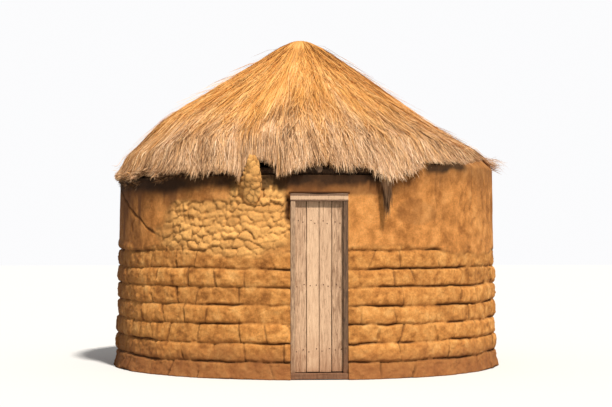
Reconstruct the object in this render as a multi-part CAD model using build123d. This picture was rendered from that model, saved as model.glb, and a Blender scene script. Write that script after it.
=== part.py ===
from build123d import *
import os
from math import asin, atan, cos, degrees, radians, sin, tan

# A round mud hut with a conical thatched roof, in millimetres.
# The origin is on the ground at the middle of the hut, and the door faces -Y.

# Mud wall: a flared foot, then courses that bulge between their joints
wall_radius = 2300
wall_thickness = 260
over_door_height = 200
wall_batter = 45
wall_segments = 7
foot_height = 190
foot_flare = 38
foot_hollow = 9
wall_course_count = 6
wall_course_bulge = 20

# Plaster coat on the upper part of the wall
plaster_foot = 1420
plaster_coat = 20
plaster_edge = 26

# Earth floor
floor_thickness = 60

# Doorway and its timber frame
door_gap = 640
head_height = 1960
jamb_width = 56
frame_depth = 76
frame_recess = 4
lintel_height = 90
sill_height = 72
sill_nose = 24
sill_round = 8
rebate_width = 18

# Plank leaf
plank_count = 4
plank_thickness = 24
plank_gap = 3
plank_ease = 3
leaf_gap = 5
leaf_bottom_gap = 7
leaf_proud = 3
ledge_count = 3
ledge_height = 100
ledge_thickness = 28
ledge_inset = 24
ledge_bevel = 9
ledge_end_height = 190

# Pin hinges
hinge_inset = 12
eye_radius = 11
pin_radius = 6
pin_play = 0.05
strap_thickness = 4
strap_height = 36
strap_length = 300
strap_drop = 14
plate_width = 34
plate_height = 60
lug_half_width = 6
lug_height = 12
lug_gap = 1

# Roof poles
pitch = 32.4
plate_pole_radius = 45
plate_pole_sides = 8
main_rafters = 8
rafter_radius = 36
rafter_sides = 8
rafter_setback = 20
between_rafter_top = 600
crown_apothem = 112
crown_depth = 210
crown_rise = 60

# Withies tied across the rafters
hoop_count = 5
hoop_apothem = 12
hoop_sides = 6
hoop_setback = 44
hoop_last = 640

# Thatch, laid in courses that overlap upwards
thatch_thickness = 190
eave_overhang = 150
eave_lap = 34
eave_curl = 300
eave_bow = 34
eave_hang_gap = 6
eave_lift = 26
course_step = 15
eave_course_width = 670
middle_course_width = 690
cap_foot = 420
tip_radius = 150
tip_rise = 44
tip_swell = 0.76
lower_sectors = 6
upper_sectors = 3

# Brow cut in the eave over the door
brow_half_width = 520
brow_height = 135
brow_shift = 130

# Clearance between pieces that rest on each other
seat_gap = 0.3

wall_height = head_height + lintel_height + over_door_height
wall_inner = wall_radius - wall_thickness
wall_middle = wall_radius - wall_thickness / 2
frame_front = wall_radius - frame_recess
frame_rear = frame_front - frame_depth
half_gap = door_gap / 2
half_frame = half_gap - seat_gap
half_clear = half_frame - jamb_width
lintel_top = head_height + lintel_height
leaf_bottom = sill_height + leaf_bottom_gap
leaf_top = head_height + rebate_width - leaf_gap
half_leaf = half_clear + rebate_width - leaf_gap
leaf_inner = frame_rear - leaf_proud
hinge_x = half_leaf + hinge_inset
hinge_y = -(leaf_inner - seat_gap - eye_radius)
slope = tan(radians(pitch))
plate_centre = wall_height + seat_gap + plate_pole_radius
rafter_rise = plate_pole_radius + seat_gap + rafter_radius
rafter_back = rafter_radius * tan(radians(180 / rafter_sides))
# A straight withy that bends at the rafter's middle comes nearest at the edge of its flat back
withy_dip = rafter_back * sin(radians(90 / main_rafters)) * sin(radians(pitch))
hoop_rise = rafter_radius + withy_dip + seat_gap + hoop_apothem
thatch_rise = hoop_rise + hoop_apothem + seat_gap
rafter_foot = wall_radius - rafter_setback
hoop_first = rafter_foot - hoop_setback
eave_radius = wall_radius + eave_overhang
eave_inner = wall_radius + eave_hang_gap
eave_tip = wall_height - eave_lap
middle_course_foot = eave_radius - eave_course_width
upper_course_foot = middle_course_foot - middle_course_width


def roof_line(rise, radius):
    """Height at a radius of the cone that lies rise above the rafters' middle lines."""
    middle = plate_centre + rafter_rise / cos(radians(pitch)) + (wall_middle - radius) * slope
    return middle + rise / cos(radians(pitch))


def turned(profile, angle, start=0):
    """Revolve an XZ profile about Z, beginning start degrees from +X."""
    return Rot(0, 0, start) * revolve(Plane.XZ * profile, Axis.Z, angle)


def block(low, high):
    """A box between two corners."""
    size = [top - bottom for bottom, top in zip(low, high)]
    middle = [(top + bottom) / 2 for bottom, top in zip(low, high)]
    return Pos(*middle) * Box(*size)


def write(name, *solids):
    """Save one solid, or several as one node."""
    shape = solids[0] if len(solids) == 1 else Compound(children=list(solids))
    export_step(shape, f"parts/{name}.step")


def wall_face(height):
    """Radius of the wall's outer face at a height, without its bulges."""
    return wall_radius + wall_batter * (0.5 - height / wall_height)


def wall_profile():
    """Section of the wall: flared foot, bulging courses, plaster coat, level top, plumb inner face."""
    foot_top = (wall_face(foot_height), foot_height)
    foot_tip = (wall_face(0) + foot_flare, 0)
    foot_middle = ((foot_top[0] + foot_tip[0]) / 2 - foot_hollow, foot_height / 2)
    course_height = (plaster_foot - foot_height) / wall_course_count
    outline = [foot_top]
    for course in range(wall_course_count):
        middle = foot_height + course_height * (course + 0.5)
        joint = foot_height + course_height * (course + 1)
        outline.append((wall_face(middle) + wall_course_bulge, middle))
        outline.append((wall_face(joint), joint))
    for height in (plaster_foot + plaster_edge, wall_height):
        outline.append((wall_face(height) + plaster_coat, height))
    inner_face = [(wall_inner, wall_height), (wall_inner, 0)]
    return make_face(Polyline(*inner_face, foot_tip, foot_middle, *outline, close=True))


def make_walls():
    """Segments from the doorway's right side round to its left side, and the piece over the door."""
    profile = wall_profile()
    names = ["front_right", "right", "back_right", "back", "back_left", "left", "front_left"]
    door_angle = degrees(asin(half_gap / wall_radius))
    step = (360 - 2 * door_angle) / wall_segments
    bounds = [270 + door_angle + step * index for index in range(wall_segments + 1)]
    # The two segments at the door reach its middle, and the doorway is then cut out of them
    bounds[0] = 270
    bounds[-1] = 630
    doorway = block((-half_gap, -eave_radius, -1), (half_gap, 0, wall_height + 1))
    for index, (first, last) in enumerate(zip(bounds, bounds[1:])):
        piece = turned(profile, last - first, first)
        if index in (0, wall_segments - 1):
            piece = piece - doorway
        name = names[index] if wall_segments == len(names) else str(index + 1)
        write(f"wall_{name}", piece)
    above_lintel = block((-half_gap, -eave_radius, lintel_top + seat_gap), (half_gap, 0, wall_height + 1))
    write("wall_over_door", turned(profile, 90, 225) & above_lintel)


def make_floor():
    """Beaten earth, with a tongue that runs through the doorway to the sill."""
    radius = wall_inner - seat_gap
    disc = Pos(0, 0, floor_thickness / 2) * Cylinder(radius, floor_thickness)
    tongue = block((-half_frame, -(frame_rear - seat_gap), 0), (half_frame, 0, floor_thickness))
    write("earth_floor", disc + tongue)


def make_door_frame():
    """Sill, rebated jambs standing on it, and the lintel that they carry."""
    sill = block((-half_frame, -(frame_front + sill_nose), 0), (half_frame, -frame_rear, sill_height))
    nose_edges = sill.edges().filter_by(Axis.X).group_by(Axis.Y)[0]
    write("door_sill", fillet(nose_edges.group_by(Axis.Z)[-1], sill_round))
    rebate_depth = leaf_gap + plank_thickness - leaf_proud
    post = block(
        (half_clear, -frame_front, sill_height + seat_gap), (half_frame, -frame_rear, head_height)
    )
    rebate = block(
        (half_clear - 1, -(frame_rear + rebate_depth), 0),
        (half_clear + rebate_width, 0, head_height + 1),
    )
    jamb = post - rebate
    write("door_jamb_right", jamb)
    write("door_jamb_left", mirror(jamb, Plane.YZ))
    lintel = block(
        (-half_frame, -frame_front, head_height + seat_gap), (half_frame, -frame_rear, lintel_top)
    )
    head_rebate = block(
        (-half_clear - rebate_width, -(frame_rear + rebate_depth), 0),
        (half_clear + rebate_width, 0, head_height + rebate_width),
    )
    write("door_lintel", lintel - head_rebate)


def plank_places():
    """Left edge of each plank, and the planks' width."""
    width = (2 * half_leaf - plank_gap * (plank_count - 1)) / plank_count
    return [-half_leaf + (width + plank_gap) * index for index in range(plank_count)], width


def ledge_heights():
    """Underside of each ledge on the back of the leaf."""
    first = leaf_bottom + ledge_end_height
    last = leaf_top - ledge_end_height - ledge_height
    return [first + (last - first) * index / (ledge_count - 1) for index in range(ledge_count)]


def make_leaf():
    """Upright planks with ledges nailed across their inner faces."""
    edges, width = plank_places()
    front = -(leaf_inner + plank_thickness)
    planks = [
        eased_plank(block((left, front, leaf_bottom), (left + width, -leaf_inner, leaf_top)))
        for left in edges
    ]
    write("door_planks", *planks)
    inner = -(leaf_inner - seat_gap)
    reach = half_leaf - ledge_inset
    ledges = [
        bevelled_ledge(block((-reach, inner, low), (reach, inner + ledge_thickness, low + ledge_height)))
        for low in ledge_heights()
    ]
    write("door_ledges", *ledges)


def eased_plank(plank):
    """Ease the two upright outer edges of a plank."""
    return chamfer(plank.edges().filter_by(Axis.Z).group_by(Axis.Y)[0], plank_ease)


def bevelled_ledge(ledge):
    """Slope the top inner edge of a ledge, as carpenters do to shed water."""
    inner_edges = ledge.edges().filter_by(Axis.X).group_by(Axis.Y)[-1]
    return chamfer(inner_edges.group_by(Axis.Z)[-1], ledge_bevel)


def hinge_heights():
    """Underside of each strap, just below the top and bottom ledges."""
    heights = ledge_heights()
    return [low - strap_drop - strap_height for low in (heights[0], heights[-1])]


def make_hinges():
    """Two pins on plates behind the right jamb, and the straps whose eyes turn on them."""
    pintles = []
    straps = []
    for low in hinge_heights():
        pintles.append(pintle(low - lug_gap - lug_height))
        straps.append(strap(low))
    write("hinge_pintles", *pintles)
    write("hinge_straps", *straps)


def pintle(low):
    """Plate on the jamb's inner face, with a lug that carries an upright pin."""
    rear = -(frame_rear - seat_gap)
    plate_left = hinge_x - lug_half_width
    plate = block(
        (plate_left, rear, low + lug_height - plate_height),
        (plate_left + plate_width - seat_gap, rear + strap_thickness, low + lug_height),
    )
    lug = block((plate_left, rear, low), (hinge_x + lug_half_width, hinge_y, low + lug_height))
    boss = Pos(hinge_x, hinge_y, low + lug_height / 2) * Cylinder(lug_half_width, lug_height)
    pin_length = lug_height + lug_gap + strap_height
    pin = Pos(hinge_x, hinge_y, low + pin_length / 2) * Cylinder(pin_radius, pin_length)
    return plate + lug + boss + pin


def strap(low):
    """Flat bar across the leaf's inner face, rolled into an eye at its end."""
    front = hinge_y - eye_radius
    rear = front + strap_thickness
    bar = block((hinge_x - strap_length, front, low), (hinge_x, rear, low + strap_height))
    eye = Cylinder(eye_radius, strap_height) - Cylinder(pin_radius + pin_play, 2 * strap_height)
    return bar + Pos(hinge_x, hinge_y, low + strap_height / 2) * eye


def ring_of_poles(section, radius):
    """Poles laid end to end round the hut, from rafter to rafter, with mitred ends.
    The section is drawn about the poles' middle line, which meets the radius at the rafters."""
    step = 180 / main_rafters
    reach = 2 * eave_radius
    span = turned(Pos(reach / 2, 0) * Rectangle(reach, 2 * reach), step, -step / 2)
    middle = Pos(radius * cos(radians(step / 2)), 0)
    pole = extrude(Plane.XZ * (middle * section), radius, both=True) & span
    return Part() + [Rot(0, 0, step * (index + 0.5)) * pole for index in range(2 * main_rafters)]


def make_wall_plate():
    """Poles round the wall's top, hewn to the slope of the rafters that rest on them."""
    half_side = 180 / plate_pole_sides
    pole = RegularPolygon(plate_pole_radius, plate_pole_sides, major_radius=False, rotation=half_side)
    width = 4 * plate_pole_radius
    below_rafters = Rot(0, 0, -pitch) * Pos(0, plate_pole_radius - width / 2) * Rectangle(width, width)
    write("wall_plate", ring_of_poles(Pos(0, plate_centre) * (pole & below_rafters), wall_middle))


def rafter(top_radius):
    """A pole along the slope, its sides hewn flat, cut plumb at both ends."""
    middle = (rafter_foot + top_radius) / 2
    margin = 2 * rafter_radius
    length = (rafter_foot - top_radius) / cos(radians(pitch)) + 2 * margin
    half_side = 180 / rafter_sides
    section = RegularPolygon(rafter_radius, rafter_sides, major_radius=False, rotation=half_side)
    laid = Rot(0, 90 + pitch, 0) * extrude(section, length / 2, both=True)
    between_ends = block(
        (top_radius, -margin, roof_line(-margin, rafter_foot)),
        (rafter_foot, margin, roof_line(margin, top_radius)),
    )
    return Pos(middle, 0, roof_line(0, middle)) * laid & between_ends


def make_rafters():
    """Main rafters up to the crown block, and shorter ones between them."""
    step = 360 / main_rafters
    long_pole = rafter(crown_apothem + seat_gap)
    short_pole = rafter(between_rafter_top)
    write("rafters_main", *[Rot(0, 0, step * index) * long_pole for index in range(main_rafters)])
    write(
        "rafters_between",
        *[Rot(0, 0, step * (index + 0.5)) * short_pole for index in range(main_rafters)],
    )
    top = roof_line(0, crown_apothem) + crown_rise
    prism = extrude(RegularPolygon(crown_apothem, main_rafters, major_radius=False), crown_depth)
    flat_turn = flat_angle()
    write("crown_block", Pos(0, 0, top - crown_depth) * Rot(0, 0, flat_turn) * prism)


def flat_angle():
    """Turn that puts the middle of a flat of the crown block on +X, where the first rafter meets it."""
    corner = RegularPolygon(crown_apothem, main_rafters, major_radius=False).vertices()[0]
    corner_angle = degrees(atan(corner.Y / corner.X)) if corner.X else 90
    return 180 / main_rafters - corner_angle


def make_hoops():
    """Withies tied from rafter to rafter, which the thatch is tied to."""
    spacing = (hoop_first - hoop_last) / (hoop_count - 1)
    for index in range(hoop_count):
        radius = hoop_first - spacing * index
        withy = RegularPolygon(hoop_apothem, hoop_sides, major_radius=False)
        section = Pos(0, roof_line(hoop_rise, radius)) * Rot(0, 0, -pitch) * withy
        write(f"roof_hoop_{index + 1}", ring_of_poles(section, radius))


def thatch_top(radius):
    """Height of the thatch's straight outer slope."""
    return roof_line(thatch_rise + thatch_thickness, radius)


def eave_profile():
    """Lowest course: the slope bends down to a hanging edge that laps over the wall's top."""
    top = middle_course_foot + seat_gap
    shoulder = eave_radius - eave_curl
    bend = eave_radius - eave_curl / 2
    outline = [
        (top, roof_line(thatch_rise, top)),
        (top, thatch_top(top)),
        (shoulder, thatch_top(shoulder)),
        (bend, (thatch_top(shoulder) + eave_tip) / 2 + eave_bow),
        (eave_radius, eave_tip),
        (eave_inner, eave_tip + eave_lift),
        (eave_inner, roof_line(thatch_rise, eave_inner)),
    ]
    return make_face(Polyline(*outline, close=True))


def course_profile(foot, top):
    """A higher course, whose foot stands proud of the one below."""
    return make_face(
        Polyline(
            (top, roof_line(thatch_rise, top)),
            (foot, roof_line(thatch_rise, foot)),
            (foot, thatch_top(foot) + course_step),
            (top, thatch_top(top)),
            close=True,
        )
    )


def cap_profile():
    """Closing bundle, whose tip is blunter than the roof's slope."""
    outline = [
        (0, roof_line(thatch_rise, 0)),
        (cap_foot, roof_line(thatch_rise, cap_foot)),
        (cap_foot, thatch_top(cap_foot) + course_step),
        (tip_radius, thatch_top(tip_radius)),
        (tip_radius / 2, thatch_top(tip_radius) + tip_rise * tip_swell),
        (0, thatch_top(tip_radius) + tip_rise),
    ]
    return make_face(Polyline(*outline, close=True))


def write_course(name, profile, count, cut=None):
    """One node for each sector of a course, the first centred over the door."""
    step = 360 / count
    sides = {
        3: ["front", "back_right", "back_left"],
        6: ["front", "front_right", "back_right", "back", "back_left", "front_left"],
    }
    labels = sides.get(count, [str(index + 1) for index in range(count)])
    for index, label in enumerate(labels):
        sector = turned(profile, step, 270 - step / 2 + step * index)
        if cut is not None and index == 0:
            sector = sector - cut
        write(f"{name}_{label}", sector)


def brow_cut():
    """Arch that is trimmed out of the eave over the door."""
    arch = Plane.XZ * Ellipse(brow_half_width, brow_height)
    return Pos(brow_shift, -wall_inner, eave_tip) * extrude(arch, eave_radius)


def make_thatch():
    write_course("thatch_eave", eave_profile(), lower_sectors, brow_cut())
    middle = course_profile(middle_course_foot, upper_course_foot + seat_gap)
    write_course("thatch_middle", middle, lower_sectors)
    upper = course_profile(upper_course_foot, cap_foot + seat_gap)
    write_course("thatch_upper", upper, upper_sectors)
    write("thatch_cap", turned(cap_profile(), 360))


os.makedirs("parts", exist_ok=True)
make_walls()
make_floor()
make_door_frame()
make_leaf()
make_hinges()
make_wall_plate()
make_rafters()
make_hoops()
make_thatch()
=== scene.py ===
import math
from contextlib import contextmanager

import bmesh
import bpy
import numpy as np
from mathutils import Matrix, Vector
from mathutils.geometry import delaunay_2d_cdt


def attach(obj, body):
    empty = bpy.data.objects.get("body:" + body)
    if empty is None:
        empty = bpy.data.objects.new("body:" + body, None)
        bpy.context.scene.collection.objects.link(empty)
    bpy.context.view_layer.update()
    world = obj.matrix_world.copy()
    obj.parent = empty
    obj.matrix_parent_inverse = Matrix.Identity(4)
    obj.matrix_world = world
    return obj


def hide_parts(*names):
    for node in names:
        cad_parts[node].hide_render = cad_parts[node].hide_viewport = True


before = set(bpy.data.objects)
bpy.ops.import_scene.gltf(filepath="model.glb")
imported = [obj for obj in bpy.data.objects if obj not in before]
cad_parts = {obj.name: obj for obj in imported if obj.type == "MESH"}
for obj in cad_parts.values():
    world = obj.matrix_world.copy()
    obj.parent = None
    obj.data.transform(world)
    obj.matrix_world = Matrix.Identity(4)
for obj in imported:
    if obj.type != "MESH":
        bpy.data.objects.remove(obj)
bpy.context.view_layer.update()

# Driving sizes of the hut, in metres, as in the frame
WALL_RADIUS = 2.3
WALL_THICKNESS = 0.26
WALL_HEIGHT = 2.25
WALL_BATTER = 0.045
FOOT_HEIGHT = 0.19
FOOT_FLARE = 0.038
COURSES = 6
COURSE_BULGE = 0.020
PLASTER_FOOT = 1.42
PLASTER_COAT = 0.020
HALF_DOOR_GAP = 0.32
LINTEL_TOP = 2.0503
SEGMENT_TURN = math.radians(106.2)
THATCH_THICKNESS = 0.19
THATCH_INNER = 2.4652
WALL_MIDDLE = 2.17
EAVE_RADIUS = 2.45
EAVE_TIP = 2.216
EAVE_CURL = 0.3
EAVE_BOW = 0.034
EAVE_INNER = 2.306
EAVE_LIFT = 0.026
PITCH = math.radians(32.4)
TIP_RADIUS = 0.15
TIP_RISE = 0.044
FRAME_FRONT = -2.296
FRAME_REAR = -2.220
HALF_CLEAR = 0.2637
HALF_FRAME = 0.3197
REBATE = 0.018
REBATE_FRONT = -2.246
SILL_TOP = 0.072
HEAD = 1.960
LEAF_LOW, LEAF_HIGH = 0.079, 1.973
LEAF_FRONT, LEAF_BACK = -2.241, -2.217
LEDGE_BACK = -2.1887
LEDGE_FEET = (0.269, 0.976, 1.683)
LEDGE_HEIGHT = 0.1
HALF_LEAF = 0.2767
PLANKS = 4
PLANK_GAP = 0.003

# The real roof departs from a true cone: it sits to the left, both flanks sag and its edge hangs close
# to the wall
ROOF_SHIFT = -0.072
LEFT_SAG = 0.16
RIGHT_SAG = 0.11
EDGE_RADIUS = 2.41

# The mud that is packed up to the trimmed eave leans inwards above this height
SHOULDER_FOOT = 2.385

# Where the eave's edge is trimmed above the first height, painted shade on the wall is measured from
# the second
TRIMMED_ABOVE, PAINTED_SHADE_LINE = 2.4, 2.28

# Lengths of mud in a course round the wall, and the hand-laid lumps of a bare patch
COURSE_LENGTHS = 36
LUMPS, LUMP_HEIGHT = 96, 0.085

# Radius at which the eave's lobes and tufts are drawn from noise
LOBE_RADIUS = 2.4

# Height of the eave's ragged edge at turns from the door's middle, to the right of it above zero
EDGE_TURNS = (-3.2, -1.9, -1.57, -0.9, -0.42, -0.374, -0.364, -0.275, -0.205, -0.198, -0.160, -0.125,
              0.0, 0.2, 0.29, 0.305, 0.36, 0.46, 0.52, 0.9, 1.3, 1.6, 2.1, 3.2)
EDGE_HEIGHTS = (2.25, 2.34, 2.38, 2.355, 2.28, 2.27, 2.42, 2.43, 2.37, 2.25, 2.25, 2.32, 2.35,
                2.355, 2.32, 2.25, 2.25, 2.29, 2.39, 2.515, 2.64, 2.65, 2.49, 2.25)

SLOPE = math.tan(PITCH)
WALL_INNER = WALL_RADIUS - WALL_THICKNESS
FRONT = -math.pi / 2


def smooth(low, high, value):
    """0 below low, 1 above high, with a soft passage between."""
    t = np.clip((value - low) / (high - low), 0, 1)
    return t * t * (3 - 2 * t)


def window(value, rise, fall):
    """1 between a soft rise and a soft fall, each given as (low, high), and 0 beyond them."""
    return smooth(*rise, value) * (1 - smooth(*fall, value))


def polar(radius, angle, height):
    """Points at a radius, at an angle about the hut's axis and at a height."""
    return np.stack([radius * np.cos(angle), radius * np.sin(angle), height], axis=-1)


def lattice(cells, seed):
    """A repeatable value from 0 to 1 for each whole-number cell."""
    whole = cells.astype(np.int64) + 100000
    mixed = whole[..., 0] * 73856093 ^ whole[..., 1] * 19349663 ^ whole[..., 2] * 83492791
    mixed = mixed ^ seed * 97531
    mixed = (mixed ^ (mixed >> 13)) * 1274126177 & 0x7FFFFFFF
    mixed = (mixed ^ (mixed >> 15)) * 668265263 & 0x7FFFFFFF
    return ((mixed ^ (mixed >> 16)) & 0xFFFFFF) / 0xFFFFFF


def noise(points, size, seed, octaves=1):
    """Soft noise from -1 to 1 with features of about the given size."""
    total = np.zeros(len(points))
    weight, reach = 1.0, 0.0
    for octave in range(octaves):
        place = points / size * 2**octave
        cell = np.floor(place)
        inside = place - cell
        inside = inside * inside * (3 - 2 * inside)
        value = np.zeros(len(points))
        for corner in np.ndindex(2, 2, 2):
            share = np.prod(np.where(np.array(corner), inside, 1 - inside), axis=1)
            value += share * lattice(cell + corner, seed + 17 * octave)
        total += weight * (2 * value - 1)
        reach += weight
        weight /= 2
    return total / reach


def nearest_two(candidates):
    """The smallest and second smallest of some distances, and the values that go with the smallest. A
    candidate is a distance and its values."""
    first = second = 9.0
    kept = None
    for gap, *values in candidates:
        closer = gap < first
        second = np.where(closer, first, np.minimum(second, gap))
        kept = [np.where(closer, new, old) for new, old in zip(values, kept or values)]
        first = np.where(closer, gap, first)
    return first, second, *kept


def clods(points, size, seed):
    """Distance to the nearest and second nearest of scattered centres, and a value for each clod."""
    place = points / size
    cell = np.floor(place)
    candidates = []
    for step in np.ndindex(3, 3, 3):
        near = cell + step - 1
        centre = near + np.stack([lattice(near, seed + axis) for axis in range(3)], axis=1)
        candidates.append((np.linalg.norm(centre - place, axis=1), lattice(near, seed + 5)))
    return nearest_two(candidates)


def handfuls(across, up, count, seed):
    """Lumps in staggered rows round a ring of count lumps. Both places are given in lumps. Returns the
    distance to the nearest two centres, a value for each lump and the height above its centre."""
    candidates = []
    for row_step, column_step in np.ndindex(3, 3):
        row = np.floor(up) + row_step - 1
        shift = 0.5 * (row % 2)
        column = np.floor(across - shift) + column_step - 1
        cell = np.stack([column % count, row, 0 * row], axis=1)
        aside = across - column - shift - 0.5 - 0.6 * (lattice(cell, seed) - 0.5)
        above = up - row - 0.5 - 0.45 * (lattice(cell, seed + 1) - 0.5)
        gap = np.hypot(aside, above) / (0.8 + 0.45 * lattice(cell, seed + 2))
        candidates.append((gap, lattice(cell, seed + 3), above))
    return nearest_two(candidates)


def course_lengths(turn, course, count, seed):
    """Distance to the nearest upright break in a course of mud, and a value for each length of it."""
    row = np.floor(course)
    across = turn / (2 * math.pi) * count + 0.5 * (row % 2)
    gap = np.full(len(turn), 9.0)
    value = np.zeros(len(turn))
    for step in (-1, 0, 1, 2):
        index = np.floor(across) + step
        key = np.stack([index % count, row, 0 * row], axis=1)
        slant = 0.5 * (lattice(key, seed + 1) - 0.5) * (course - row - 0.5)
        edge = index + 0.6 * (lattice(key, seed) - 0.5) + slant
        gap = np.minimum(gap, np.abs(across - edge))
        value = np.where(across > edge, lattice(key, seed + 2), value)
    return gap * 2 * math.pi * WALL_RADIUS / count, value


def new_object(name, data):
    made = bpy.data.objects.new(name, data)
    bpy.context.scene.collection.objects.link(made)
    return made


def enter(piece, body, nodes=()):
    """Tell the frame the body that a piece rides on and the nodes that it replaces."""
    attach(piece, body)
    if nodes:
        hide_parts(*nodes)


@contextmanager
def edited(mesh):
    """A mesh opened for changes, which are written back at the end."""
    opened = bmesh.new()
    opened.from_mesh(mesh)
    yield opened
    opened.to_mesh(mesh)
    opened.free()


def new_mesh(name, points, quads, nodes, masks):
    """A smooth mesh piece of the hut from arrays of points and quads, with its masks as attributes."""
    mesh = bpy.data.meshes.new(name)
    mesh.vertices.add(len(points))
    mesh.vertices.foreach_set("co", np.asarray(points, np.float32).ravel())
    quads = np.asarray(quads, np.int32)
    mesh.loops.add(quads.size)
    mesh.loops.foreach_set("vertex_index", quads.ravel())
    mesh.polygons.add(len(quads))
    mesh.polygons.foreach_set("loop_start", np.arange(0, quads.size, 4, dtype=np.int32))
    mesh.polygons.foreach_set("use_smooth", np.full(len(quads), True))
    mesh.update(calc_edges=True)
    mesh.validate()
    for label, values in masks.items():
        layer = mesh.attributes.new(label, "FLOAT", "POINT")
        layer.data.foreach_set("value", np.asarray(values, np.float32))
    piece = new_object(name, mesh)
    enter(piece, "hut", nodes)
    return piece


def grid_quads(rows, columns):
    """Quads that join a grid of points, row by row, with the last row joined to the first."""
    a, b = np.meshgrid(np.arange(rows), np.arange(columns - 1), indexing="ij")
    c = (a + 1) % rows
    corners = [a * columns + b, c * columns + b, c * columns + b + 1, a * columns + b + 1]
    return np.stack(corners, axis=-1).reshape(-1, 4)


def ring_quads(rows, columns):
    """Quads that join a grid of points, with the last column joined to the first."""
    index = np.arange(rows * columns).reshape(rows, columns)
    after = np.roll(index, -1, axis=1)
    return np.stack([index[:-1], after[:-1], after[1:], index[1:]], axis=-1).reshape(-1, 4)


# Material building

def material(name):
    made = bpy.data.materials.new(name)
    made.use_nodes = True
    return made, made.node_tree, made.node_tree.nodes["Principled BSDF"]


def feed(tree, node, inputs):
    """Link or set a node's inputs. A colour may be given without its alpha."""
    for key, value in inputs.items():
        socket = node.inputs[key]
        if isinstance(value, bpy.types.NodeSocket):
            tree.links.new(value, socket)
        else:
            socket.default_value = (*value[:3], 1) if socket.type == "RGBA" else value


def add(tree, kind, inputs=(), **settings):
    """A node with its settings and its inputs."""
    node = tree.nodes.new(kind)
    for key, value in settings.items():
        setattr(node, key, value)
    feed(tree, node, dict(inputs))
    return node


def object_coords(tree, scale=(1, 1, 1)):
    coords = add(tree, "ShaderNodeTexCoord").outputs["Object"]
    return add(tree, "ShaderNodeMapping", {"Vector": coords, "Scale": scale}).outputs["Vector"]


def noise_node(tree, vector, scale, detail, roughness, distortion=0.0):
    inputs = {"Vector": vector, "Scale": scale, "Detail": detail, "Roughness": roughness,
              "Distortion": distortion}
    return add(tree, "ShaderNodeTexNoise", inputs).outputs["Fac"]


def ramp(tree, factor, *stops):
    """A ramp of stops (position, grey) or (position, red, green, blue), in linear values."""
    node = add(tree, "ShaderNodeValToRGB", {"Fac": factor})
    elements = node.color_ramp.elements
    while len(elements) < len(stops):
        elements.new(0.5)
    for element, (position, *colour) in zip(elements, stops):
        element.position = position
        element.color = (*(colour if len(colour) == 3 else colour * 3), 1)
    return node.outputs["Color"]


def mix(tree, factor, first, second, blend="MIX"):
    inputs = {0: factor, 6: first, 7: second}
    return add(tree, "ShaderNodeMix", inputs, data_type="RGBA", blend_type=blend).outputs[2]


def maths(tree, operation, first, second, clamp=False):
    inputs = {0: first, 1: second}
    return add(tree, "ShaderNodeMath", inputs, operation=operation, use_clamp=clamp).outputs[0]


def plus(tree, base, *parts):
    """A socket plus others, each given with its weight."""
    for socket, weight in parts:
        base = maths(tree, "ADD", base, maths(tree, "MULTIPLY", socket, weight))
    return base


def attribute(tree, name):
    return add(tree, "ShaderNodeAttribute", attribute_name=name).outputs["Fac"]


def bump(tree, height, strength, distance):
    inputs = {"Height": height, "Strength": strength, "Distance": distance}
    return add(tree, "ShaderNodeBump", inputs).outputs["Normal"]


def mud_material():
    """Ochre earth: pale clods, painted shade in crevices, smoother plaster where it has stayed on."""
    made, tree, shader = material("mud")
    coords = object_coords(tree)
    broad = noise_node(tree, coords, 1.3, 5, 0.6)
    middle = noise_node(tree, coords, 7.0, 6, 0.65)
    fine = noise_node(tree, coords, 60.0, 4, 0.7)
    rough = ramp(tree, middle, (0.30, 0.34, 0.125, 0.026), (0.46, 0.66, 0.275, 0.066),
                 (0.58, 0.84, 0.39, 0.106), (0.72, 0.98, 0.53, 0.175))
    mottled = plus(tree, maths(tree, "MULTIPLY", broad, 0.5), (middle, 0.5))
    plaster = ramp(tree, mottled, (0.40, 0.44, 0.165, 0.036), (0.5, 0.76, 0.315, 0.080),
                   (0.60, 1.0, 0.465, 0.140))
    tint = mix(tree, attribute(tree, "clod"), (0.80, 0.76, 0.72), (1.12, 1.08, 1.02))
    speckle = ramp(tree, fine, (0.3, 0.70), (0.5, 0.97), (0.7, 1.12))
    colour = mix(tree, attribute(tree, "plaster"), rough, plaster)
    colour = mix(tree, attribute(tree, "pale"), colour, (1.0, 0.53, 0.165))
    colour = mix(tree, 0.55, colour, tint, "MULTIPLY")
    colour = mix(tree, 0.75, colour, speckle, "MULTIPLY")
    # Darkening colours: splashes and stains are the wall's own, the stain mask also holds painted
    # shade, the crevice mask is painted shade in recesses, and the last is near-black painted shade
    # with some smoke-blackening
    for mask, shade in (("splash", (0.30, 0.105, 0.035)), ("stain_and_painted_shade", (0.20, 0.075, 0.022)),
                        ("painted_crevice_shade", (0.085, 0.030, 0.008)), ("soot_and_painted_shade", (0.022, 0.011, 0.005))):
        colour = mix(tree, attribute(tree, mask), colour, shade)
    waves = {"Vector": coords, "Scale": 26.0, "Distortion": 28.0, "Detail": 3.0, "Detail Scale": 2.4}
    straw = add(tree, "ShaderNodeTexWave", waves, wave_type="BANDS").outputs["Fac"]
    grit = noise_node(tree, coords, 130.0, 5, 0.75)
    height = plus(tree, maths(tree, "MULTIPLY", grit, 0.5), (straw, 0.18),
                  (noise_node(tree, coords, 24.0, 6, 0.7), 0.9))
    feed(tree, shader, {
        "Base Color": colour, "Roughness": ramp(tree, fine, (0.2, 0.98), (0.8, 0.86)),
        "Specular IOR Level": 0.25, "Normal": bump(tree, height, 0.75, 0.014)})
    return made


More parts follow.
